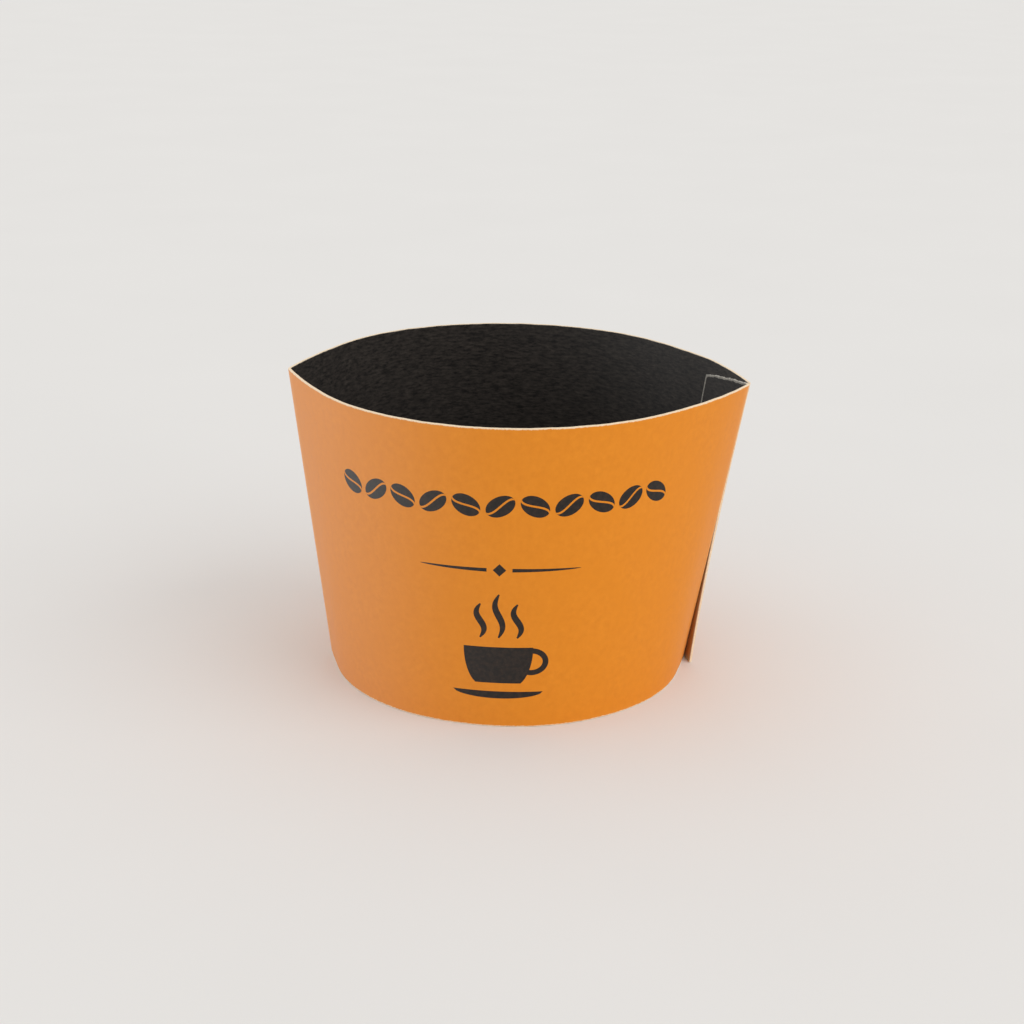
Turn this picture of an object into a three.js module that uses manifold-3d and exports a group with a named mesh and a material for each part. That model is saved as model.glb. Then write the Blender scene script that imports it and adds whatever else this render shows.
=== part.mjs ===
import * as THREE from 'three';
import { mergeVertices, toCreasedNormals } from 'three/addons/utils/BufferGeometryUtils.js';
import Module from 'manifold-3d';

// A coffee cup sleeve: one die-cut piece of printed card, folded at two creases into a front and a
// back panel, with a glue flap that turns in at the second crease and is glued behind the back panel.
// Opened round a tapered cup, each panel lies on the cup as an arc and leaves it over a much flatter
// shoulder to each crease, so the band is pointed at its sides, more so at the top than at the bottom.
// Millimetres, +Z up. The origin is on the plane of the bottom edge, under the middle of the band's
// outline. The front panel faces -Y, the fold crease is at -X and the seam crease is at +X.

// The card
const cardThickness = 0.5;
const creaseInnerRadius = 0.15;

// The two edges of the band: the radius inside it where it lies on the cup, how far each crease
// stands out past that round, and the radius of the shoulder between the cup and the crease
const height = 61;
const topInnerRadius = 40.3;
const bottomInnerRadius = 35.2;
const seamStandOffTop = 6.5;
const seamStandOffBottom = 1.1;
const foldStandOffTop = 3.8;
const foldStandOffBottom = 1;
const seamShoulderRadiusTop = 75;
const foldShoulderRadiusTop = 110;
const shoulderRadiusBottom = 500;

// The top edge is cut lower at the creases than at the middle of the panels
const seamDip = 2;
const foldDip = 0.2;
const dipPower = 4;

// The glue flap, whose two ends are cut on a slant, and the glue behind it
const flapWidth = 15;
const flapTopSlantDegrees = 11.5;
const flapBottomSlantDegrees = 8;
const glueThickness = 0.06;
const glueKey = 0.08;
const glueEndMargin = 0.04;

// The back panel steps out over the flap, and comes back to the cup within this length past it
const lapRampLength = 9;

// The back panel's cut end is a little askew to the crease: a lip past it at the bottom, just
// short of it at the top
const lipAtBottom = 3.6;
const lipSetbackAtTop = 0.4;
const lipPower = 3;

// How finely the curved card is divided
const panelSteps = 20;
const lapSteps = 6;
const roundSteps = 6;
const levels = 8;
const creasedAngleDegrees = 35;

const creaseRadius = creaseInnerRadius + cardThickness;
const lapLift = cardThickness + glueThickness;

const bottomEdge = {
  radius: bottomInnerRadius + cardThickness,
  standOff: { seam: seamStandOffBottom, fold: foldStandOffBottom },
  shoulderRadius: { seam: shoulderRadiusBottom, fold: shoulderRadiusBottom },
  z: 0,
  dip: { seam: 0, fold: 0 },
};
const topEdge = {
  radius: topInnerRadius + cardThickness,
  standOff: { seam: seamStandOffTop, fold: foldStandOffTop },
  shoulderRadius: { seam: seamShoulderRadiusTop, fold: foldShoulderRadiusTop },
  z: height,
  dip: { seam: seamDip, fold: foldDip },
};

const outwardX = { seam: 1, fold: -1 };
const outwardY = { front: -1, back: 1 };

// A quarter of an edge, from the middle of a panel to a crease: an arc that lies on the cup, the
// flatter arc of the shoulder, and the small round of the crease, each tangent to the next. The
// centres of tangent arcs are as far apart as their radii differ, so the three centres make a
// triangle whose sides are known, and its angles say where each arc ends.
function quarterOf(edge, crease) {
  const shoulderRadius = edge.shoulderRadius[crease];
  const roundCentre = edge.radius + edge.standOff[crease] - creaseRadius;
  const cupToShoulder = shoulderRadius - edge.radius;
  const roundToShoulder = shoulderRadius - creaseRadius;
  const sine = (roundToShoulder ** 2 - cupToShoulder ** 2 - roundCentre ** 2)
    / (2 * cupToShoulder * roundCentre);
  const cupAngle = Math.asin(sine);
  const shoulderAngle = Math.acos((cupToShoulder * Math.cos(cupAngle)) / roundToShoulder);
  const cupLength = edge.radius * cupAngle;
  const length = cupLength + shoulderRadius * (shoulderAngle - cupAngle);
  return { shoulderRadius, roundCentre, shoulderAngle, cupLength, length };
}

// A point of a quarter at a distance back from the crease, with the direction out of the card,
// given as x towards the crease and y towards the panel. A negative distance runs straight on past
// the crease.
function pointOnQuarter(edge, crease, distance) {
  const { shoulderRadius, cupLength, length } = quarterOf(edge, crease);
  const along = Math.min(length - distance, length);
  const past = Math.max(-distance, 0);
  const onCup = Math.min(along, cupLength) / edge.radius;
  const onShoulder = Math.max(along - cupLength, 0) / shoulderRadius;
  const outAt = (angle) => new THREE.Vector2(Math.sin(angle), Math.cos(angle));
  const out = outAt(onCup + onShoulder);
  const onward = new THREE.Vector2(out.y, -out.x);
  const point = outAt(onCup).multiplyScalar(edge.radius - shoulderRadius)
    .addScaledVector(out, shoulderRadius).addScaledVector(onward, past);
  return { point, out, share: along / length };
}

// A point of the small round of a crease, where turn runs from 1 on the front, through 0 at the
// tip, to -1 on the back
function pointOnRound(edge, crease, turn) {
  const { roundCentre, shoulderAngle } = quarterOf(edge, crease);
  const angle = (Math.PI / 2 - shoulderAngle) * Math.abs(turn);
  const out = new THREE.Vector2(Math.cos(angle), Math.sin(angle));
  const point = new THREE.Vector2(roundCentre, 0).addScaledVector(out, creaseRadius);
  return { point, out, share: 1 };
}

// Where a station crosses one edge of the band, lifted off the hull of the band by some height
function crossing(edge, station, lift, level) {
  const { crease, face } = station;
  const found = station.turn === undefined
    ? pointOnQuarter(edge, crease, station.distance(quarterOf(edge, crease), level))
    : pointOnRound(edge, crease, station.turn);
  const place = found.point.clone().addScaledVector(found.out, lift);
  const dip = edge.dip[crease] * Math.pow(found.share, dipPower);
  return new THREE.Vector3(place.x * outwardX[crease], place.y * outwardY[face], edge.z - dip);
}

// A point of the card at a station: the rulings run straight from the bottom edge to the top edge
function cardPoint(station, lift, level) {
  const low = crossing(bottomEdge, station, lift, level);
  const high = crossing(topEdge, station, lift, level);
  return low.lerp(high, level);
}

// The stations run along the card. Each gives its distance from its crease, the heights that the
// card spans there as shares of the full height, and how far its outer face is lifted.
function panelStation(crease, face, share) {
  return { crease, face, distance: (quarter) => quarter.length * share, low: 0, high: 1, lift: 0 };
}

function roundStation(crease, turn) {
  return { crease, face: turn > 0 ? 'front' : 'back', turn, low: 0, high: 1, lift: 0 };
}

function flapSpan(distance) {
  const lowered = distance * Math.tan(THREE.MathUtils.degToRad(flapTopSlantDegrees));
  const raised = distance * Math.tan(THREE.MathUtils.degToRad(flapBottomSlantDegrees));
  return { low: raised / height, high: 1 - lowered / height };
}

function flapStation(distance) {
  return { crease: 'seam', face: 'back', distance: () => distance, ...flapSpan(distance), lift: 0 };
}

function lapStation(distance) {
  return { crease: 'seam', face: 'back', distance: () => distance, low: 0, high: 1, lift: lapLift };
}

function lipLength(level) {
  return (lipAtBottom + lipSetbackAtTop) * Math.pow(1 - level, lipPower) - lipSetbackAtTop;
}

function cutEndStation() {
  const distance = (quarter, level) => -lipLength(level);
  return { crease: 'seam', face: 'back', distance, low: 0, high: 1, lift: lapLift };
}

// Past the flap the back panel comes back to the cup in a smooth ramp
function rampStation(share) {
  const distance = (quarter) => flapWidth + share * (quarter.length - flapWidth);
  const topRun = share * (quarterOf(topEdge, 'seam').length - flapWidth);
  const lift = lapLift * (1 - THREE.MathUtils.smoothstep(topRun, 0, lapRampLength));
  return { crease: 'seam', face: 'back', distance, low: 0, high: 1, lift };
}

function steps(count, make) {
  return Array.from({ length: count }, (_, index) => make(index));
}

// The whole blank in order: back panel from its cut end, fold crease, front panel, seam crease, flap
function blankStations() {
  const lapDistance = (index) => (index * flapWidth) / lapSteps;
  return [
    cutEndStation(),
    ...steps(lapSteps, (index) => lapStation(lapDistance(index + 1))),
    ...steps(panelSteps, (index) => rampStation((index + 1) / panelSteps)),
    ...steps(panelSteps, (index) => panelStation('fold', 'back', 1 - (index + 1) / panelSteps)),
    ...steps(roundSteps - 1, (index) => roundStation('fold', (2 * (index + 1)) / roundSteps - 1)),
    ...steps(panelSteps + 1, (index) => panelStation('fold', 'front', index / panelSteps)),
    ...steps(panelSteps, (index) => panelStation('seam', 'front', 1 - (index + 1) / panelSteps)),
    ...steps(roundSteps - 1, (index) => roundStation('seam', 1 - (2 * (index + 1)) / roundSteps)),
    ...steps(lapSteps + 1, (index) => flapStation(lapDistance(index))),
  ];
}

// The glue reaches a little way into both layers, and stops short of the flap's edges
function glueStations() {
  return steps(lapSteps - 1, (index) => {
    const station = flapStation(((index + 1) * flapWidth) / lapSteps);
    return {
      ...station,
      low: station.low + glueEndMargin,
      high: station.high - glueEndMargin,
      lift: glueThickness + glueKey,
    };
  });
}

// A closed sheet over a row of stations: outer face, inner face, two edges and two ends
function sheetGeometry(stations, thickness) {
  const positions = [];
  const triangles = [];
  const vertexAt = (index, level, side) => (index * (levels + 1) + level) * 2 + side;
  const quad = (a, b, c, d) => triangles.push(a, b, c, a, c, d);

  for (const station of stations) {
    for (let row = 0; row <= levels; row += 1) {
      const level = THREE.MathUtils.lerp(station.low, station.high, row / levels);
      positions.push(...cardPoint(station, station.lift, level).toArray());
      positions.push(...cardPoint(station, station.lift - thickness, level).toArray());
    }
  }
  const last = stations.length - 1;
  for (let index = 0; index < last; index += 1) {
    for (let row = 0; row < levels; row += 1) {
      const corners = [[index, row], [index + 1, row], [index + 1, row + 1], [index, row + 1]];
      quad(...corners.map(([i, k]) => vertexAt(i, k, 0)));
      quad(...corners.reverse().map(([i, k]) => vertexAt(i, k, 1)));
    }
    const below = [vertexAt(index, 0, 0), vertexAt(index, 0, 1)];
    const above = [vertexAt(index, levels, 0), vertexAt(index, levels, 1)];
    quad(below[0], below[1], vertexAt(index + 1, 0, 1), vertexAt(index + 1, 0, 0));
    quad(above[1], above[0], vertexAt(index + 1, levels, 0), vertexAt(index + 1, levels, 1));
  }
  for (let row = 0; row < levels; row += 1) {
    const above = row + 1;
    quad(vertexAt(0, row, 1), vertexAt(0, row, 0), vertexAt(0, above, 0), vertexAt(0, above, 1));
    quad(vertexAt(last, row, 0), vertexAt(last, row, 1), vertexAt(last, above, 1), vertexAt(last, above, 0));
  }
  const geometry = new THREE.BufferGeometry();
  geometry.setAttribute('position', new THREE.Float32BufferAttribute(positions, 3));
  geometry.setIndex(triangles);
  return geometry;
}

function toSolid(wasm, geometry) {
  const merged = mergeVertices(geometry);
  const vertProperties = new Float32Array(merged.attributes.position.array);
  const triVerts = new Uint32Array(merged.index.array);
  return new wasm.Manifold(new wasm.Mesh({ numProp: 3, vertProperties, triVerts }));
}

function toGeometry(solid) {
  const { vertProperties, triVerts } = solid.getMesh();
  const geometry = new THREE.BufferGeometry();
  geometry.setAttribute('position', new THREE.BufferAttribute(vertProperties, 3));
  geometry.setIndex(new THREE.BufferAttribute(triVerts, 1));
  return toCreasedNormals(geometry, THREE.MathUtils.degToRad(creasedAngleDegrees));
}

function sleeveGeometry(wasm) {
  const blank = toSolid(wasm, sheetGeometry(blankStations(), cardThickness));
  const glue = toSolid(wasm, sheetGeometry(glueStations(), glueThickness + 2 * glueKey));
  return toGeometry(blank.add(glue));
}

const wasm = await Module();
wasm.setup();

const orangeCard = new THREE.MeshStandardMaterial({ color: 0xe0862c, roughness: 0.6, metalness: 0 });
const sleeve = new THREE.Mesh(sleeveGeometry(wasm), orangeCard);
sleeve.name = 'cup_sleeve';

// The two creases stand out by different lengths, so the outline's middle is off the cup's axis
const outline = new THREE.Box3().setFromObject(sleeve);
const middle = outline.getCenter(new THREE.Vector3());
sleeve.position.set(-middle.x, -middle.y, 0);

const cupSleeve = new THREE.Group();
cupSleeve.add(sleeve);

export default cupSleeve;
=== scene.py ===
import math
from dataclasses import dataclass

import bmesh
import bpy
import numpy as np
from mathutils import Matrix, Vector


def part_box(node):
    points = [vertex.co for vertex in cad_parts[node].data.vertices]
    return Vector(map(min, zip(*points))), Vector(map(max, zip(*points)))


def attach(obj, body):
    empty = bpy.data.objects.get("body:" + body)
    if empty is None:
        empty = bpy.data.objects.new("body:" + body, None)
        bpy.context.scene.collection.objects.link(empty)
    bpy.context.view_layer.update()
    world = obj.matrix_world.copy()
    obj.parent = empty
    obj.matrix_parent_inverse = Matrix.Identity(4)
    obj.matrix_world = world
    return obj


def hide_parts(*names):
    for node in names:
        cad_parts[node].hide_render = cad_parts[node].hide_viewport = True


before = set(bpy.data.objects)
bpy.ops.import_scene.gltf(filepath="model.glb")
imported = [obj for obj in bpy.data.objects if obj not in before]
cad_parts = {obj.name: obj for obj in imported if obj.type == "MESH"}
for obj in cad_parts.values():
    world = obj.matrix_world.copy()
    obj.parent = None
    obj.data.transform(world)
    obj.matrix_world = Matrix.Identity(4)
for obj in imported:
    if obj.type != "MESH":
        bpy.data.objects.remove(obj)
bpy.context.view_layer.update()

# A coffee cup sleeve of printed board: one sheet, folded at two creases and glued into a band.
# Its form is worked out in millimetres about the band's axis, and its meshes are in metres.

MM = 0.001
NODE = "cup_sleeve"

# The board, and the outside radius of its creases
CARD = 0.5
CREASE_RADIUS = 0.15 + CARD
GLUE = 0.06

# How far the creases stand out past the band's main arc, and the radius of the shoulder between the
# two, at the bottom and at the top
SEAM_STAND_OFF = (1.1, 6.5)
FOLD_STAND_OFF = (1.0, 3.8)
SEAM_SHOULDER = (500.0, 75.0)
FOLD_SHOULDER = (500.0, 110.0)

# The frame gives the height, the main arc's radius at the top, and where the band's axis is
frame_low, frame_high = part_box(NODE)
HEIGHT = frame_high.z / MM
TOP_RADIUS = -frame_low.y / MM
BOTTOM_RADIUS = 35.7
AXIS_X = frame_low.x / MM + TOP_RADIUS + FOLD_STAND_OFF[1]

# The top edge dips towards the creases
SEAM_DIP = 2.0
FOLD_DIP = 0.2
DIP_POWER = 4

# The glue flap
FLAP_WIDTH = 15.0
FLAP_TOP_SLANT = math.tan(math.radians(11.5))
FLAP_BOTTOM_SLANT = math.tan(math.radians(8))

# The back panel's lap: how far it is lifted over the flap, the run in which it comes back down past
# the flap, and the lip of its askew cut end, past the crease at the bottom and short of it at the top
LAP_LIFT = CARD + GLUE
LAP_RAMP = 9.0
LIP_AT_BOTTOM = 3.6
LIP_SETBACK = 0.4
LIP_POWER = 3

# The film of glue stops short of the flap's cuts, and is keyed a little into both cards
GLUE_MARGIN = 1.5
GLUE_KEY = 0.02

# Mesh: steps along the card, rows up it, and how far the rows nearest to a cut are from it
STEP = 1.0
FLAP_STEP = 0.4
ROUND_STEPS = 12
ROW_HEIGHT = 1.5
NEAR_CUT = (0.08, 0.2, 0.4, 0.7, 1.1, 1.7)
ARC_STEPS = 4

# Points that are closer than this become one, and an edge that turns further than this is sharp
MERGE_DISTANCE = 1e-4
SHARP_ANGLE = math.radians(40)

# A cut's outer corner, rounded by the die over a height and a depth, and its inner corner
CORNER_TALL = 0.1
CORNER_DEEP = 0.1
INNER_CORNER = 0.05

# Soft waves over the panels. Their rates are in radians across half a panel and up its height
WAVE_DEPTH = 0.08
SWELL_RATES = (7.1, 2.1)
RIPPLE_RATES = (12.3, -3.3)
RIPPLE_SHARE = 0.6
BACK_PHASE = 2.4

# The wander of a cut, which dies away from it over its reach, with rates in radians per millimetre.
# The flap's cuts wander more, and are torn and greyed with painted shade, in full from these places back
# from the crease
CUT_WANDER = 0.04
FLAP_WANDER = 0.16
FLAP_WANDER_START = 2.0
TORN_AND_SHADED_START = 1.0
WANDER_REACH = 3.0
WANDER_RATES = (1.1, 2.9, 6.5)
LOW_CUT_PHASE = 0.4
HIGH_CUT_PHASE = 1.9

# A distance that is further than any wear reaches
FAR = 99.0

# Print on the front panel, placed from the panel's middle and from the bottom edge
PRINT_CENTRE = -2.0
INK_PROUD = 0.014
INK_SUNK = 0.05
INK_STEP = 0.6

# The row of coffee beans
BEAN_ROW_HEIGHT = 45.8
BEAN_COUNT = 11
BEAN_SPACING = 6.4
BEAN_HALF_LENGTH = 2.9
BEAN_HALF_WIDTH = 1.95
BEAN_TILT = math.radians(28)
BEAN_SLIT = 0.2
BEAN_SLIT_SWAY = 0.22
BEAN_POINTS = 19

# The fine rule with its diamond
RULE_HEIGHT = 33.0
RULE_GAP = 2.4
RULE_REACH = 15.5
RULE_HALF_WIDTH = 0.36
RULE_POINTS = 26
DIAMOND = 1.25

# The steaming cup, placed from its own middle
CUP_MARK_HEIGHT = 16.6
CUP_POINTS = 25
SAUCER_HALF_LENGTH = 8.6
SAUCER_TOP = -9.0
SAUCER_DEPTH = 1.5
SAUCER_POINTS = 33
BOWL_TOP = 0.4
BOWL_DEPTH = 7.6
BOWL_ROUND = 8.2
BOWL_FOOT = 2.9
BOWL_FLARE = 3.7
HANDLE_MIDDLE = (6.3, -2.6)
HANDLE_REACH = (2.7, 2.3)
HANDLE_TURNS = (98, -112)
HANDLE_HALF_WIDTH = 0.55
HANDLE_POINTS = 29
STEAM_BOTTOM = 2.4
STEAM_PLACES = (-3.5, 0.0, 3.5)
STEAM_TOPS = (9.4, 11.4, 9.4)
STEAM_SWAY = 0.75
STEAM_HALF_WIDTH = 0.62
STEAM_TIP = 0.02

# The photograph's camera, found from the band's outline in it. Its target is placed from the band's
# axis at the bottom edge
VIEW_AZIMUTH = math.radians(-0.42)
VIEW_ELEVATION = math.radians(18.94)
VIEW_ROLL = math.radians(1.02)
VIEW_DISTANCE = 383.0
VIEW_TARGET = (0.33, -10.20, 34.75)
FOCAL_PIXELS = 1932.0
FRAME_PIXELS = 1024
SENSOR_WIDTH = 36.0
NEAREST_SEEN = 0.01


# Form of the card

@dataclass
class Edge:
    """One edge of the band, bottom or top, at the outside of the card. From the middle of a panel to
    a crease it is the main arc, the flatter arc of a shoulder, and the crease's small round."""
    radius: float
    stand_off: dict
    shoulder: dict
    z: float
    dip: dict

    def angles(self, crease):
        """How far out the crease's round has its centre, and the angles from the panel's middle at
        which the main arc and the shoulder end. The centres of tangent arcs are as far apart as
        their radii differ, so the three centres make a triangle with known sides."""
        centre = self.radius + self.stand_off[crease] - CREASE_RADIUS
        to_main = self.shoulder[crease] - self.radius
        to_round = self.shoulder[crease] - CREASE_RADIUS
        main_angle = math.asin((to_round ** 2 - to_main ** 2 - centre ** 2) / (2 * to_main * centre))
        return centre, main_angle, math.acos(to_main * math.cos(main_angle) / to_round)

    def length(self, crease):
        """The run of the card from a panel's middle to a crease."""
        _, main_angle, shoulder_angle = self.angles(crease)
        return self.radius * main_angle + self.shoulder[crease] * (shoulder_angle - main_angle)


BOTTOM = Edge(radius=BOTTOM_RADIUS, z=0.0, dip={"seam": 0.0, "fold": 0.0},
              stand_off={"seam": SEAM_STAND_OFF[0], "fold": FOLD_STAND_OFF[0]},
              shoulder={"seam": SEAM_SHOULDER[0], "fold": FOLD_SHOULDER[0]})
TOP = Edge(radius=TOP_RADIUS, z=HEIGHT, dip={"seam": SEAM_DIP, "fold": FOLD_DIP},
           stand_off={"seam": SEAM_STAND_OFF[1], "fold": FOLD_STAND_OFF[1]},
           shoulder={"seam": SEAM_SHOULDER[1], "fold": FOLD_SHOULDER[1]})


def on_panel(edge, crease, run, lift):
    """Where a panel lies at a run back from its crease. A run below 0 goes straight on past it."""
    main_angle = edge.angles(crease)[1]
    shoulder = edge.shoulder[crease]
    length = edge.length(crease)
    along = np.minimum(length - run, length)
    past = np.maximum(-run, 0)
    on_main = np.minimum(along / edge.radius, main_angle)
    turned = on_main + np.maximum(along - edge.radius * main_angle, 0) / shoulder
    centre = edge.radius - shoulder
    reach = shoulder + lift
    x = centre * np.sin(on_main) + reach * np.sin(turned) + past * np.cos(turned)
    y = centre * np.cos(on_main) + reach * np.cos(turned) - past * np.sin(turned)
    return np.array([x, y, edge.z - edge.dip[crease] * (along / length) ** DIP_POWER])


def on_round(edge, crease, turn, lift):
    """Where a crease's small round lies; turn runs from 0 at its tip to 1 where a panel starts."""
    centre, _, shoulder_angle = edge.angles(crease)
    angle = (math.pi / 2 - shoulder_angle) * turn
    x = centre + (CREASE_RADIUS + lift) * math.cos(angle)
    y = (CREASE_RADIUS + lift) * math.sin(angle)
    return np.array([x, y, np.full_like(x, edge.z - edge.dip[crease])])


def lip_length(share):
    """How far the back panel's cut end lies past the crease, at a share of the height."""
    return (LIP_AT_BOTTOM + LIP_SETBACK) * (1 - share) ** LIP_POWER - LIP_SETBACK


def wave(face, across, share):
    """The card's soft unevenness, over a panel from -1 at its fold crease to 1 at its seam crease."""
    phase = 0.0 if face == "front" else BACK_PHASE
    swell = np.sin(SWELL_RATES[0] * across + SWELL_RATES[1] * share + phase)
    ripple = np.sin(RIPPLE_RATES[0] * across + RIPPLE_RATES[1] * share + 2 * phase)
    return WAVE_DEPTH * (swell + RIPPLE_SHARE * ripple) * (1 - across ** 2)


def smoothstep(value):
    """A soft step from 0 to 1, as a value goes from 0 to 1."""
    held = np.clip(value, 0, 1)
    return held * held * (3 - 2 * held)


@dataclass
class Station:
    """A place along the card where its section is drawn. It lies at a run back from a crease, at
    the bottom edge and at the top edge, or at a turn of the crease's small round. It may follow the
    askew cut end, be lifted off the band's form, and have its cuts in from the band's edges."""
    crease: str
    face: str
    runs: tuple = (0.0, 0.0)
    turn: float = None
    askew: bool = False
    lift: float = 0.0
    cut_low: float = 0.0
    cut_high: float = 0.0
    from_end: float = FAR
    wander: float = CUT_WANDER
    # How far the cut is torn, which also greys it with painted shade
    torn_and_shaded: float = 0.0

    def points(self, share, depth):
        """Points in metres, at shares of the full height and depths below the card's outer face."""
        runs = [run - self.askew * lip_length(share) for run in self.runs]
        side = 1 if self.crease == "seam" else -1
        facing = 1 if self.face == "back" else -1
        across = 1 - np.clip(runs[1] / TOP.length(self.crease), 0, 1)
        lift = self.lift - depth + wave(self.face, side * across, share)
        if self.turn is None:
            low, high = (on_panel(edge, self.crease, run, lift)
                         for edge, run in zip((BOTTOM, TOP), runs))
        else:
            low, high = (on_round(edge, self.crease, self.turn, lift) for edge in (BOTTOM, TOP))
        x, y, z = low * (1 - share) + high * share
        return np.stack([AXIS_X + side * x, facing * y, z], axis=-1) * MM

    def past_crease(self, share):
        """How far the lapped panel runs on past the crease, at shares of the full height."""
        return self.askew * lip_length(share) - self.runs[1] if self.lift else -FAR

    def from_crease(self):
        """How far the station is from the tip of its crease, along the top edge."""
        if self.lift:
            return FAR
        turn = 1 if self.turn is None else self.turn
        return self.runs[1] + CREASE_RADIUS * (math.pi / 2 - TOP.angles(self.crease)[2]) * turn


def even_places(start, end, step=STEP):
    """Places from start to end, about a step apart."""
    return np.linspace(start, end, max(round((end - start) / step), 2) + 1)


def half_panel(crease, face):
    """The stations from a crease to the middle of a panel."""
    parts = even_places(0, TOP.length(crease)) / TOP.length(crease)
    return [Station(crease, face, (part * BOTTOM.length(crease), part * TOP.length(crease)))
            for part in parts]


def crease_round(crease, faces):
    """The stations round a crease's tip, from one panel to the other."""
    turns = np.linspace(1, -1, ROUND_STEPS + 1)[1:-1]
    return [Station(crease, faces[0] if turn > 0 else faces[1], turn=abs(turn)) for turn in turns]


def lapped_station(place, **facts):
    """A station of the back panel, at a place back from the seam crease. Over the flap the panel is
    lifted off it by the glue, and past the flap it comes back down to the band's own form."""
    part = max(place - FLAP_WIDTH, 0) / (TOP.length("seam") - FLAP_WIDTH)
    runs = tuple(min(place, FLAP_WIDTH) + part * (edge.length("seam") - FLAP_WIDTH)
                 for edge in (BOTTOM, TOP))
    lift = LAP_LIFT * (1 - smoothstep((place - FLAP_WIDTH) / LAP_RAMP))
    return Station("seam", "back", runs, lift=lift, **facts)


def lapped_half_panel():
    """The back panel from its cut end, over the flap, to its middle."""
    end = [lapped_station(inset, askew=True, from_end=inset) for inset in (0.0, *NEAR_CUT)]
    lap = [lapped_station(place) for place in even_places(NEAR_CUT[-1] + STEP, FLAP_WIDTH)]
    rest = [lapped_station(place) for place in even_places(FLAP_WIDTH, TOP.length("seam"))[1:]]
    return end + lap + rest


def flap_station(place, margin=0.0, **facts):
    """A station of the glue flap, at a place back from the seam crease. Its cuts slant, wander more
    than the die's, and are torn and greyed with painted shade, all from the crease on."""
    return Station("seam", "back", (place, place), cut_low=margin + place * FLAP_BOTTOM_SLANT,
                   cut_high=margin + place * FLAP_TOP_SLANT,
                   wander=max(FLAP_WANDER * min(place / FLAP_WANDER_START, 1), CUT_WANDER),
                   torn_and_shaded=min(place / TORN_AND_SHADED_START, 1), **facts)


def flap():
    """The glue flap, from the seam crease to its free end."""
    places = [*even_places(0, FLAP_WIDTH - NEAR_CUT[-1] - FLAP_STEP, FLAP_STEP),
              *(FLAP_WIDTH - inset for inset in (*NEAR_CUT[::-1], 0.0))]
    return [flap_station(place, from_end=FLAP_WIDTH - place) for place in places]


def glue_film():
    """The film of glue between the flap and the back panel, keyed a little into both."""
    places = even_places(GLUE_MARGIN, FLAP_WIDTH - GLUE_MARGIN)
    return [flap_station(place, GLUE_MARGIN, lift=GLUE + GLUE_KEY) for place in places]


def blank():
    """The whole sheet in order: back panel, fold crease, front panel, seam crease, flap."""
    back = lapped_half_panel() + half_panel("fold", "back")[-2::-1]
    front = half_panel("fold", "front") + half_panel("seam", "front")[-2::-1]
    fold_crease = crease_round("fold", ("back", "front"))
    seam_crease = crease_round("seam", ("front", "back"))
    return back + fold_crease + front + seam_crease + flap()


# Mesh of the sleeve

OUTSIDE, INSIDE, CUT = range(3)
FACTS = ("cut_distance", "crease_distance", "past_crease", "torn_and_shaded")


def section_loop():
    """The closed loop round the card's section, as places up the full height and depths below the
    outer face. It goes up the outer face, over the upper cut, down the inner face and under the
    lower cut, and its second half mirrors its first."""
    turns = np.linspace(0, math.pi / 2, ARC_STEPS + 1)
    outer = [(CORNER_TALL * (1 - math.sin(turn)), CORNER_DEEP * (1 - math.cos(turn)))
             for turn in turns]
    inner = [(INNER_CORNER * (1 - math.sin(turn)), CARD - INNER_CORNER * (1 - math.cos(turn)))
             for turn in turns]
    near = [CORNER_TALL + inset for inset in NEAR_CUT]
    middle = np.linspace(near[-1], HEIGHT - near[-1], round(HEIGHT / ROW_HEIGHT))[1:-1]
    places = [*near, *middle, *(HEIGHT - inset for inset in near[::-1])]

    def face(corner, depth):
        upper = [(HEIGHT - inset, deep) for inset, deep in corner]
        return corner[::-1] + [(place, depth) for place in places] + upper

    return np.array(face(outer, 0.0) + face(inner, CARD)[::-1])


def corner_depth(from_cut, tall, deep):
    """How deep a rounded corner has dropped at a distance from the cut."""
    left = 1 - min(from_cut / tall, 1)
    return deep * (1 - math.sqrt(1 - left ** 2))


def cut_wander(along, phase):
    """The wander of a cut, between -1 and 1, at millimetres along the card."""
    waves = [math.sin(rate * along + turn * phase) for turn, rate in enumerate(WANDER_RATES, 1)]
    return sum(waves) / len(waves)


def strip(stations, thickness=CARD):
    """The points of a closed strip of card, a row of them for each station, with what the materials
    need at each: its distance from the nearest cut and from the tip of its crease, how far it is past
    the crease, all in millimetres, and how far its cut is torn and greyed with painted shade."""
    place, depth = section_loop().T
    from_low = place
    from_high = HEIGHT - place
    low_share = np.clip(1 - from_low / WANDER_REACH, 0, 1)
    high_share = np.clip(1 - from_high / WANDER_REACH, 0, 1)
    rows = []
    facts = []
    along = 0.0
    for number, station in enumerate(stations):
        squeeze = 1 - (station.cut_low + station.cut_high) / HEIGHT
        low_move = station.wander * cut_wander(along, LOW_CUT_PHASE) * low_share
        high_move = station.wander * cut_wander(along, HIGH_CUT_PHASE) * high_share
        share = (station.cut_low + place * squeeze + low_move + high_move) / HEIGHT
        shallowest = corner_depth(station.from_end, CORNER_TALL, CORNER_DEEP)
        deepest = CARD - corner_depth(station.from_end, INNER_CORNER, INNER_CORNER)
        rows.append(station.points(share, np.clip(depth, shallowest, deepest) * thickness / CARD))
        cut = np.minimum(np.minimum(from_low, from_high), station.from_end)
        past = station.past_crease(share)
        facts.append(np.stack(np.broadcast_arrays(cut, station.from_crease(), past, station.torn_and_shaded)))
        along += np.linalg.norm(rows[-1][0] - rows[max(number - 1, 0)][0]) / MM
    return np.array(rows), np.array(facts)


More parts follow.
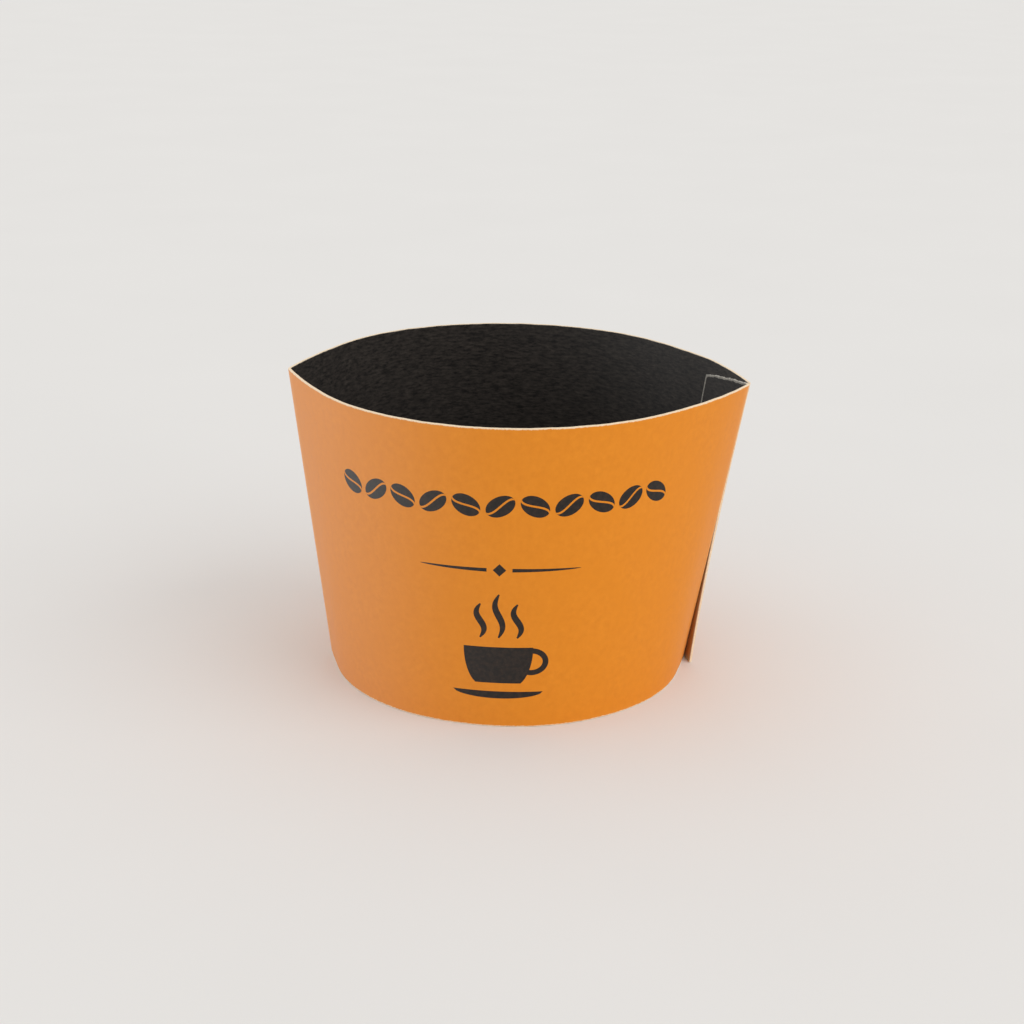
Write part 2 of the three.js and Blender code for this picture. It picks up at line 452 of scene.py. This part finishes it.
def strip_faces(stations, loop_size):
    """The faces of a closed strip, with a kind for each: outside, inside or cut."""
    depth = section_loop()[:, 1]
    faces = []
    kinds = []
    for first in range(0, (stations - 1) * loop_size, loop_size):
        second = first + loop_size
        for number in range(loop_size):
            after = (number + 1) % loop_size
            faces.append((first + number, first + after, second + after, second + number))
            depths = {depth[number], depth[after]}
            kinds.append(OUTSIDE if depths == {0.0} else INSIDE if depths == {CARD} else CUT)
    for first in (0, (stations - 1) * loop_size):
        for number in range(loop_size // 2 - 1):
            facing = loop_size - 1 - number
            faces.append((first + number, first + number + 1, first + facing - 1, first + facing))
            kinds.append(CUT)
    return faces, kinds


def make_piece(name, vertices, faces, materials, kinds=None, attributes=None):
    """A closed piece with its faces pointing out, smooth but for its sharp edges."""
    mesh = bpy.data.meshes.new(name)
    mesh.from_pydata([tuple(point) for point in vertices], [], faces)
    for material in materials:
        mesh.materials.append(material)
    if kinds:
        mesh.polygons.foreach_set("material_index", kinds)
    for attribute, values in (attributes or {}).items():
        layer = mesh.attributes.new(attribute, "FLOAT", "POINT")
        layer.data.foreach_set("value", values.astype(np.float32))
    form = bmesh.new()
    form.from_mesh(mesh)
    bmesh.ops.remove_doubles(form, verts=form.verts, dist=MERGE_DISTANCE * MM)
    bmesh.ops.recalc_face_normals(form, faces=form.faces)
    form.to_mesh(mesh)
    form.free()
    mesh.shade_smooth()
    mesh.set_sharp_from_angle(angle=SHARP_ANGLE)
    piece = bpy.data.objects.new(name, mesh)
    bpy.context.scene.collection.objects.link(piece)
    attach(piece, "root")
    return piece


def make_sleeve(materials):
    """The folded and glued sheet, with the film of glue that closes it into a band."""
    sheet = blank()
    film = glue_film()
    rows, facts = strip(sheet)
    film_rows, film_facts = strip(film, GLUE + 2 * GLUE_KEY)
    loop_size = rows.shape[1]
    faces, kinds = strip_faces(len(sheet), loop_size)
    film_faces, film_kinds = strip_faces(len(film), loop_size)
    offset = len(sheet) * loop_size
    vertices = np.concatenate([rows.reshape(-1, 3), film_rows.reshape(-1, 3)])
    values = np.concatenate([facts, film_facts]).transpose(1, 0, 2).reshape(len(FACTS), -1)
    faces += [tuple(offset + corner for corner in face) for face in film_faces]
    sleeve = make_piece("sleeve_card", vertices, faces, materials, kinds + film_kinds,
                        dict(zip(FACTS, values)))
    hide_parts(NODE)
    return sleeve


# Print on the front panel

def on_front(across, height, proud):
    """Points of the front panel, at millimetres across from its middle and up from the bottom edge."""
    share = height / HEIGHT
    points = np.empty((*across.shape, 3))
    for crease, chosen in (("seam", across >= 0), ("fold", across < 0)):
        reach = BOTTOM.length(crease) * (1 - share) + TOP.length(crease) * share
        part = 1 - np.abs(across) / reach
        station = Station(crease, "front", (part * BOTTOM.length(crease), part * TOP.length(crease)))
        points[chosen] = station.points(share, np.full_like(across, -proud))[chosen]
    return points


def patch(first, second):
    """A closed slab of ink between two outlines that run side by side, as vertices and faces."""
    widest = np.linalg.norm(first - second, axis=1).max()
    parts = np.linspace(0, 1, max(math.ceil(widest / INK_STEP), 1) + 1)
    grid = first[:, None] * (1 - parts[:, None]) + second[:, None] * parts[:, None]
    count, width = grid.shape[:2]
    layers = [on_front(grid[..., 0], grid[..., 1], proud).reshape(-1, 3)
              for proud in (INK_PROUD, -INK_SUNK)]
    size = count * width
    faces = []
    for start in range(0, size - width, width):
        for corner in range(start, start + width - 1):
            flat = (corner, corner + 1, corner + width + 1, corner + width)
            faces += [flat, tuple(size + number for number in flat)]
    rim = [*range(width), *range(2 * width - 1, size, width), *range(size - 2, size - width - 1, -1),
           *range(size - 2 * width, 0, -width)]
    faces += [(corner, after, size + after, size + corner)
              for corner, after in zip(rim, rim[1:] + rim[:1])]
    return np.concatenate(layers), faces


def stamped(first, second, place, turn=0.0):
    """A slab of ink between two outlines that are turned by an angle and set at their place."""
    cosine, sine = math.cos(turn), math.sin(turn)
    turned = np.array([[cosine, sine], [-sine, cosine]])
    return patch(first @ turned + np.array(place), second @ turned + np.array(place))


def curve(across, height):
    """Points from two rows of numbers, either of which may be one number."""
    return np.stack(np.broadcast_arrays(np.asarray(across, float), np.asarray(height, float)), axis=-1)


def bean(place, turn):
    """A coffee bean: two halves with an S-shaped slit between them."""
    parts = np.linspace(-1, 1, BEAN_POINTS)
    across = BEAN_HALF_LENGTH * np.sin(parts * math.pi / 2)
    outline = BEAN_HALF_WIDTH * np.cos(parts * math.pi / 2)
    slit = BEAN_SLIT_SWAY * BEAN_HALF_WIDTH * np.sin(parts * math.pi)
    halves = []
    for side in (1, -1):
        inner = np.minimum(side * slit + BEAN_SLIT, outline)
        halves.append(stamped(curve(across, side * outline), curve(across, side * inner), place, turn))
    return halves


def bean_row():
    """A row of beans that lean to alternate sides."""
    beans = []
    for number in range(BEAN_COUNT):
        across = PRINT_CENTRE + (number - (BEAN_COUNT - 1) / 2) * BEAN_SPACING
        beans += bean((across, BEAN_ROW_HEIGHT), BEAN_TILT if number % 2 else -BEAN_TILT)
    return beans


def rule():
    """A fine rule, tapered to both ends, with a diamond in its middle."""
    parts = np.linspace(0, 1, RULE_POINTS)
    across = RULE_GAP + (RULE_REACH - RULE_GAP) * parts
    half_width = RULE_HALF_WIDTH * np.sqrt(1 - parts)
    place = (PRINT_CENTRE, RULE_HEIGHT)
    marks = [stamped(curve(side * across, half_width), curve(side * across, -half_width), place)
             for side in (1, -1)]
    corners = DIAMOND * np.array([-1, -0.5, 0, 0.5, 1])
    half_height = DIAMOND - np.abs(corners)
    return marks + [stamped(curve(corners, half_height), curve(corners, -half_height), place)]


def ribbon(points, half_width):
    """The two outlines of a ribbon along a line of points."""
    along = np.gradient(points, axis=0)
    along /= np.linalg.norm(along, axis=1)[:, None]
    normal = np.stack([-along[:, 1], along[:, 0]], axis=-1) * np.reshape(half_width, (-1, 1))
    return points + normal, points - normal


def cup_mark():
    """A plain steaming cup on its saucer."""
    parts = np.linspace(0, 1, CUP_POINTS)

    across = np.linspace(-SAUCER_HALF_LENGTH, SAUCER_HALF_LENGTH, SAUCER_POINTS)
    drop = SAUCER_DEPTH * np.sqrt(1 - (across / SAUCER_HALF_LENGTH) ** 2)
    saucer = curve(across, SAUCER_TOP), curve(across, SAUCER_TOP - drop)

    depth = BOWL_DEPTH * np.sin(parts * math.pi / 2)
    half_width = BOWL_FOOT + BOWL_FLARE * np.sqrt(np.maximum(1 - (depth / BOWL_ROUND) ** 2, 0))
    bowl = curve(-half_width, BOWL_TOP - depth), curve(half_width, BOWL_TOP - depth)

    turns = np.radians(np.linspace(*HANDLE_TURNS, HANDLE_POINTS))
    handle = ribbon(curve(HANDLE_MIDDLE[0] + HANDLE_REACH[0] * np.cos(turns),
                          HANDLE_MIDDLE[1] + HANDLE_REACH[1] * np.sin(turns)), HANDLE_HALF_WIDTH)

    sway = STEAM_SWAY * np.sin(parts * 2 * math.pi)
    taper = np.sqrt(np.sin(np.clip(parts, STEAM_TIP, 1 - STEAM_TIP) * math.pi))
    rise = [STEAM_BOTTOM + (top - STEAM_BOTTOM) * parts for top in STEAM_TOPS]
    steam = [ribbon(curve(place + sway, height), STEAM_HALF_WIDTH * taper)
             for place, height in zip(STEAM_PLACES, rise)]
    return [stamped(*outlines, (PRINT_CENTRE, CUP_MARK_HEIGHT))
            for outlines in (saucer, bowl, handle, *steam)]


def make_print(material):
    """All the print, as thin slabs of ink that follow the board."""
    vertices = []
    faces = []
    start = 0
    for slab, slab_faces in bean_row() + rule() + cup_mark():
        vertices.append(slab)
        faces += [tuple(start + corner for corner in face) for face in slab_faces]
        start += len(slab)
    return make_piece("print_marks", np.concatenate(vertices), faces, [material])


# Materials

def linear(hex_colour):
    """An sRGB hex colour as the linear colour that a shader takes."""
    parts = [int(hex_colour[start:start + 2], 16) / 255 for start in (1, 3, 5)]
    return (*(part / 12.92 if part <= 0.04045 else ((part + 0.055) / 1.055) ** 2.4 for part in parts), 1.0)


def per_metre(size):
    """The scale of a pattern whose features are a size in millimetres."""
    return 1 / (size * MM)


def add(material, kind, inputs=None, **settings):
    """Add a node with its settings, and set or link its inputs."""
    node = material.node_tree.nodes.new(kind)
    for name, value in settings.items():
        setattr(node, name, value)
    for name, value in (inputs or {}).items():
        if isinstance(value, bpy.types.NodeSocket):
            material.node_tree.links.new(value, node.inputs[name])
        else:
            node.inputs[name].default_value = value
    return node


# The numbered sockets of a Mix node for colours
FACTOR, FIRST, SECOND, RESULT = 0, 6, 7, 2


def new_material(name):
    """An empty node material, with the place of a point on the piece for its patterns."""
    material = bpy.data.materials.new(name)
    material.use_nodes = True
    material.node_tree.nodes.clear()
    place = add(material, "ShaderNodeTexCoord").outputs["Object"]
    return material, place


def finished(material, shader):
    """The material, with its shader linked to its surface."""
    add(material, "ShaderNodeOutputMaterial", {"Surface": shader.outputs[0]})
    return material


def offset_printed_board():
    """Solid bleached board, offset printed with a flat orange and sealed with a satin dispersion
    varnish. The ink lies a little unevenly on the fibres, the varnish has a soft broad sheen, and
    the print is broken to pale fibre at the die-cut edges and rubbed along the creases. Beside the
    creases a pale band of painted sheen is mixed into the colour."""
    material, place = new_material("offset_printed_board")
    cut = add(material, "ShaderNodeAttribute", attribute_name="cut_distance").outputs["Fac"]
    crease = add(material, "ShaderNodeAttribute", attribute_name="crease_distance").outputs["Fac"]

    # Ink mottle is about 0.7 mm on such board, and is drawn at 1.3 mm so that it shows. The ink's tone
    # also drifts a little over 8 mm or so
    mottle = add(material, "ShaderNodeTexNoise", {"Vector": place, "Scale": per_metre(1.3), "Detail": 4.0,
                                                  "Roughness": 0.6})
    drift = add(material, "ShaderNodeTexNoise", {"Vector": place, "Scale": per_metre(8), "Detail": 2.0})
    ink = add(material, "ShaderNodeMix", {FACTOR: mottle.outputs["Fac"], FIRST: linear("#d27811"),
                                          SECOND: linear("#f1982b")}, data_type="RGBA")
    printed = add(material, "ShaderNodeMix", {FACTOR: drift.outputs["Fac"], FIRST: ink.outputs[RESULT],
                                              SECOND: linear("#e2881b")}, data_type="RGBA")

    # Broken print along a cut, about 0.2 mm wide and uneven by the board's fibres. Those are 0.03 mm
    # wide, and are drawn in clumps of 0.45 mm so that they show
    fibre = add(material, "ShaderNodeTexNoise", {"Vector": place, "Scale": per_metre(0.45), "Detail": 3.0,
                                                 "Roughness": 0.7})
    uneven_cut = add(material, "ShaderNodeMath", {0: fibre.outputs["Fac"], 1: -0.5, 2: cut},
                     operation="MULTIPLY_ADD")
    broken = add(material, "ShaderNodeMapRange", {"Value": uneven_cut.outputs[0], "From Min": -0.1,
                                                  "From Max": 0.02, "To Min": 1.0, "To Max": 0.0})

    # Rubbed print on the tip of a crease, and beside it a wider pale haze, which is painted sheen of the
    # varnish seen edge-on at the creases. The scuffs are finer than the render shows, and are drawn as
    # streaks 0.6 mm wide and 2.4 mm long
    stretched = add(material, "ShaderNodeMapping", {"Vector": place, "Scale": (1.0, 1.0, 0.25)})
    streaks = add(material, "ShaderNodeTexNoise", {"Vector": stretched.outputs[0], "Scale": per_metre(0.6),
                                                   "Detail": 3.0})
    uneven_crease = add(material, "ShaderNodeMath", {0: streaks.outputs["Fac"], 1: -0.9, 2: crease},
                        operation="MULTIPLY_ADD")
    rubbed = add(material, "ShaderNodeMapRange", {"Value": uneven_crease.outputs[0], "From Min": -0.35,
                                                  "From Max": 0.35, "To Min": 0.5, "To Max": 0.0})
    painted_sheen = add(material, "ShaderNodeMapRange", {"Value": uneven_crease.outputs[0], "From Min": -0.3,
                                                "From Max": 2.6, "To Min": 0.17, "To Max": 0.0})
    rubbed_and_sheen = add(material, "ShaderNodeMath", {0: rubbed.outputs[0], 1: painted_sheen.outputs[0]},
                operation="MAXIMUM")
    worn_and_sheen = add(material, "ShaderNodeMath", {0: broken.outputs[0], 1: rubbed_and_sheen.outputs[0]},
               operation="MAXIMUM")
    colour = add(material, "ShaderNodeMix", {FACTOR: worn_and_sheen.outputs[0], FIRST: printed.outputs[RESULT],
                                             SECOND: linear("#f6dab6")}, data_type="RGBA")

    # Where the print is worn the varnish is gone too, which leaves the board more matt there. The band of
    # painted sheen beside the creases is made more matt with it
    gloss = add(material, "ShaderNodeMapRange", {"Value": mottle.outputs["Fac"], "To Min": 0.6,
                                                 "To Max": 0.7})
    roughness = add(material, "ShaderNodeMath", {0: worn_and_sheen.outputs[0], 1: 0.35, 2: gloss.outputs[0]},
                    operation="MULTIPLY_ADD")

    # The varnish's slight orange peel over the fibres, 0.9 mm across
    peel = add(material, "ShaderNodeTexNoise", {"Vector": place, "Scale": per_metre(0.9), "Detail": 3.0})
    bump = add(material, "ShaderNodeBump", {"Height": peel.outputs["Fac"], "Strength": 0.5,
                                            "Distance": 0.03 * MM})
    return finished(material, add(material, "ShaderNodeBsdfPrincipled", {
        "Base Color": colour.outputs[RESULT], "Roughness": roughness.outputs[0], "IOR": 1.48,
        "Specular IOR Level": 0.25, "Sheen Weight": 0.08, "Sheen Roughness": 0.3,
        "Normal": bump.outputs[0]}))


def black_lined_board():
    """The board's inner liner, dyed black through its fibres and left unsealed. It is matt, a little
    brown, with paler fibres in it. Along the back panel's loose end it carries painted orange light
    reflected from the crease."""
    material, place = new_material("black_lined_board")
    cut = add(material, "ShaderNodeAttribute", attribute_name="cut_distance").outputs["Fac"]

    # Liner fibres are 1 to 3 mm long and 0.03 mm wide, and are drawn 1.7 mm long and 0.5 mm wide so
    # that they show
    stretched = add(material, "ShaderNodeMapping", {"Vector": place, "Scale": (0.3, 0.3, 1.0)})
    fibre = add(material, "ShaderNodeTexNoise", {"Vector": stretched.outputs[0], "Scale": per_metre(0.5),
                                                 "Detail": 4.0, "Roughness": 0.7})
    tone = add(material, "ShaderNodeMapRange", {"Value": fibre.outputs["Fac"], "From Min": 0.35,
                                                "From Max": 0.75})
    liner = add(material, "ShaderNodeMix", {FACTOR: tone.outputs[0], FIRST: linear("#1d1b1a"),
                                            SECOND: linear("#443e39")}, data_type="RGBA")

    # Along the back panel's loose end, past the crease, the black is painted over, beige near the cut
    # and orange-brown further in. The orange-brown is painted orange light reflected from the crease
    # beside it, made uneven by the fibres
    past = add(material, "ShaderNodeAttribute", attribute_name="past_crease").outputs["Fac"]
    bounce_share = add(material, "ShaderNodeMapRange", {"Value": cut, "From Min": 0.1, "From Max": 1.4})
    painted_bounce = add(material, "ShaderNodeMix", {FACTOR: bounce_share.outputs[0], FIRST: linear("#b8a98c"),
                                           SECOND: linear("#c98f52")}, data_type="RGBA")
    uneven_bounce = add(material, "ShaderNodeMath", {0: fibre.outputs["Fac"], 1: 0.6, 2: past},
                     operation="MULTIPLY_ADD")
    bounce_mask = add(material, "ShaderNodeMapRange", {"Value": uneven_bounce.outputs[0], "From Min": 0.0,
                                               "From Max": 0.5})
    liner_with_bounce = add(material, "ShaderNodeMix", {FACTOR: bounce_mask.outputs[0], FIRST: liner.outputs[RESULT],
                                            SECOND: painted_bounce.outputs[RESULT]}, data_type="RGBA")

    # The core's fibres stand over the black at a cut, and further where the flap is torn. There they are
    # painted greyer, which is painted shade
    torn_and_shaded = add(material, "ShaderNodeAttribute", attribute_name="torn_and_shaded").outputs["Fac"]
    reach = add(material, "ShaderNodeMath", {0: torn_and_shaded, 1: -0.3, 2: cut}, operation="MULTIPLY_ADD")
    uneven_cut = add(material, "ShaderNodeMath", {0: fibre.outputs["Fac"], 1: -0.3, 2: reach.outputs[0]},
                     operation="MULTIPLY_ADD")
    stray_with_shade = add(material, "ShaderNodeMix", {FACTOR: torn_and_shaded, FIRST: linear("#cfc4b6"),
                                            SECOND: linear("#b5afa4")}, data_type="RGBA")
    broken = add(material, "ShaderNodeMapRange", {"Value": uneven_cut.outputs[0], "From Min": -0.1,
                                                  "From Max": 0.02, "To Min": 0.7, "To Max": 0.0})
    colour = add(material, "ShaderNodeMix", {FACTOR: broken.outputs[0], FIRST: liner_with_bounce.outputs[RESULT],
                                             SECOND: stray_with_shade.outputs[RESULT]}, data_type="RGBA")
    bump = add(material, "ShaderNodeBump", {"Height": fibre.outputs["Fac"], "Strength": 0.6,
                                            "Distance": 0.03 * MM})
    return finished(material, add(material, "ShaderNodeBsdfPrincipled", {
        "Base Color": colour.outputs[RESULT], "Roughness": 0.9, "IOR": 1.45, "Specular IOR Level": 0.12,
        "Normal": bump.outputs[0]}))


def die_cut_core():
    """The board's bleached core where the steel rule of the die has cut it. It is off-white and
    matt, with cut fibres that give it fine darker flecks."""
    material, place = new_material("die_cut_core")

    # The flecks are fibres, 0.03 mm wide, and are drawn at 0.35 mm so that they show
    fleck = add(material, "ShaderNodeTexNoise", {"Vector": place, "Scale": per_metre(0.35), "Detail": 4.0,
                                                 "Roughness": 0.7})
    tone = add(material, "ShaderNodeMapRange", {"Value": fleck.outputs["Fac"], "From Min": 0.35,
                                                "From Max": 0.7})
    core = add(material, "ShaderNodeMix", {FACTOR: tone.outputs[0], FIRST: linear("#e2c9a8"),
                                           SECOND: linear("#fbe6c6")}, data_type="RGBA")

    # The flap's cuts are torn, and their fibres are painted greyer than a clean cut, which is painted
    # shade
    torn_and_shaded = add(material, "ShaderNodeAttribute", attribute_name="torn_and_shaded").outputs["Fac"]
    colour = add(material, "ShaderNodeMix", {FACTOR: torn_and_shaded, FIRST: core.outputs[RESULT],
                                             SECOND: linear("#b5afa4")}, data_type="RGBA")
    bump = add(material, "ShaderNodeBump", {"Height": fleck.outputs["Fac"], "Strength": 0.8,
                                            "Distance": 0.05 * MM})
    return finished(material, add(material, "ShaderNodeBsdfPrincipled", {
        "Base Color": colour.outputs[RESULT], "Roughness": 0.9, "IOR": 1.45, "Normal": bump.outputs[0]}))


def offset_ink():
    """Near-black offset ink over the orange, under the same satin varnish. It is a little smoother
    than the board and lets a trace of the orange's mottle through."""
    material, place = new_material("offset_ink")

    # Ink mottle is about 0.7 mm, and is drawn at 0.8 mm, so that the small marks have some of it
    mottle = add(material, "ShaderNodeTexNoise", {"Vector": place, "Scale": per_metre(0.8), "Detail": 4.0,
                                                  "Roughness": 0.6})
    tone = add(material, "ShaderNodeMapRange", {"Value": mottle.outputs["Fac"], "From Min": 0.4,
                                                "From Max": 0.8})
    colour = add(material, "ShaderNodeMix", {FACTOR: tone.outputs[0], FIRST: linear("#231f1d"),
                                             SECOND: linear("#3a2e26")}, data_type="RGBA")
    gloss = add(material, "ShaderNodeMapRange", {"Value": mottle.outputs["Fac"], "To Min": 0.55,
                                                 "To Max": 0.65})
    return finished(material, add(material, "ShaderNodeBsdfPrincipled", {
        "Base Color": colour.outputs[RESULT], "Roughness": gloss.outputs[0], "IOR": 1.48,
        "Specular IOR Level": 0.25}))


def backdrop_paper():
    """A roll of pale studio paper, pressed smooth and quite matt. Its grain is far too fine to show,
    and is drawn as a faint drift of tone over 60 mm."""
    material, place = new_material("backdrop_paper")
    grain = add(material, "ShaderNodeTexNoise", {"Vector": place, "Scale": per_metre(60), "Detail": 2.0})
    colour = add(material, "ShaderNodeMix", {FACTOR: grain.outputs["Fac"], FIRST: linear("#e6e4e1"),
                                             SECOND: linear("#e9e7e4")}, data_type="RGBA")
    return finished(material, add(material, "ShaderNodeBsdfPrincipled", {
        "Base Color": colour.outputs[RESULT], "Roughness": 0.95, "Specular IOR Level": 0.0}))


# Studio

# The floor's half width is in metres, and it lies this far in millimetres under the bottom edge
FLOOR_HALF_WIDTH = 20.0
FLOOR_DROP = 0.05
BACKDROP_COLOUR = "#e8e6e3"
WORLD_STRENGTH = 0.85

# Lamps: the direction from the sleeve to each, its strength, and how many degrees wide it is. The
# window at the left shows as a sheen on the varnish and adds nothing else
FRONT_LAMP = ((0.75, -0.43, 0.5), 0.8, 60)
LEFT_WINDOW = ((-1.0, 0.0, 0.09), 20, 60)


def make_floor():
    """A large floor at the bottom of the sleeve."""
    half = FLOOR_HALF_WIDTH
    corners = [(-half, -half, 0), (half, -half, 0), (half, half, 0), (-half, half, 0)]
    mesh = bpy.data.meshes.new("floor")
    mesh.from_pydata(corners, [], [(0, 1, 2, 3)])
    mesh.materials.append(backdrop_paper())
    floor = bpy.data.objects.new("floor", mesh)
    floor.location.z = -FLOOR_DROP * MM
    bpy.context.scene.collection.objects.link(floor)


def make_world():
    """Plain soft light from all round, with a pale backdrop where the camera looks past the floor,
    or sees it mirrored in something glossy."""
    world = bpy.data.worlds.new("studio")
    world.use_nodes = True
    world.node_tree.nodes.clear()
    light = add(world, "ShaderNodeBackground", {"Color": (1.0, 1.0, 1.0, 1.0),
                                                "Strength": WORLD_STRENGTH})
    backdrop = add(world, "ShaderNodeBackground", {"Color": linear(BACKDROP_COLOUR), "Strength": 1.0})
    path = add(world, "ShaderNodeLightPath").outputs
    mirrored = add(world, "ShaderNodeMath", {0: path["Is Glossy Ray"], 1: path["Is Transmission Ray"]},
                   operation="MAXIMUM")
    shown = add(world, "ShaderNodeMath", {0: path["Is Camera Ray"], 1: mirrored.outputs[0]},
                operation="MAXIMUM")
    seen = add(world, "ShaderNodeMixShader", {0: shown.outputs[0], 1: light.outputs[0],
                                              2: backdrop.outputs[0]})
    add(world, "ShaderNodeOutputWorld", {"Surface": seen.outputs[0]})
    bpy.context.scene.world = world


def make_lamp(name, direction, strength, spread):
    """A far and wide soft lamp, whose light is the same all over the floor."""
    lamp = bpy.data.lights.new(name, "SUN")
    lamp.energy = strength
    lamp.angle = math.radians(spread)
    holder = bpy.data.objects.new(name, lamp)
    holder.rotation_euler = Vector(direction).to_track_quat("Z", "Y").to_euler()
    bpy.context.scene.collection.objects.link(holder)
    return holder


def make_camera():
    """The camera at the photograph's place, which was found about the band's axis."""
    back = Vector((math.sin(VIEW_AZIMUTH) * math.cos(VIEW_ELEVATION),
                   -math.cos(VIEW_AZIMUTH) * math.cos(VIEW_ELEVATION), math.sin(VIEW_ELEVATION)))
    level = Vector((math.cos(VIEW_AZIMUTH), math.sin(VIEW_AZIMUTH), 0))
    upright = back.cross(level)
    right = math.cos(VIEW_ROLL) * level + math.sin(VIEW_ROLL) * upright
    up = math.cos(VIEW_ROLL) * upright - math.sin(VIEW_ROLL) * level
    target = Vector((AXIS_X + VIEW_TARGET[0], VIEW_TARGET[1], VIEW_TARGET[2]))
    lens = bpy.data.cameras.new("camera")
    lens.sensor_width = SENSOR_WIDTH
    lens.lens = FOCAL_PIXELS / FRAME_PIXELS * SENSOR_WIDTH
    lens.clip_start = NEAREST_SEEN
    lens.clip_end = 2 * FLOOR_HALF_WIDTH
    camera = bpy.data.objects.new("camera", lens)
    turn = Matrix((right, up, back)).transposed().to_4x4()
    camera.matrix_world = Matrix.Translation((target + back * VIEW_DISTANCE) * MM) @ turn
    bpy.context.scene.collection.objects.link(camera)
    bpy.context.scene.camera = camera


make_camera()
make_sleeve([offset_printed_board(), black_lined_board(), die_cut_core()])
make_print(offset_ink())
make_floor()
make_world()
make_lamp("front_lamp", *FRONT_LAMP)
window = make_lamp("left_window", *LEFT_WINDOW)
window.visible_diffuse = False
bpy.context.scene.view_settings.view_transform = "Standard"
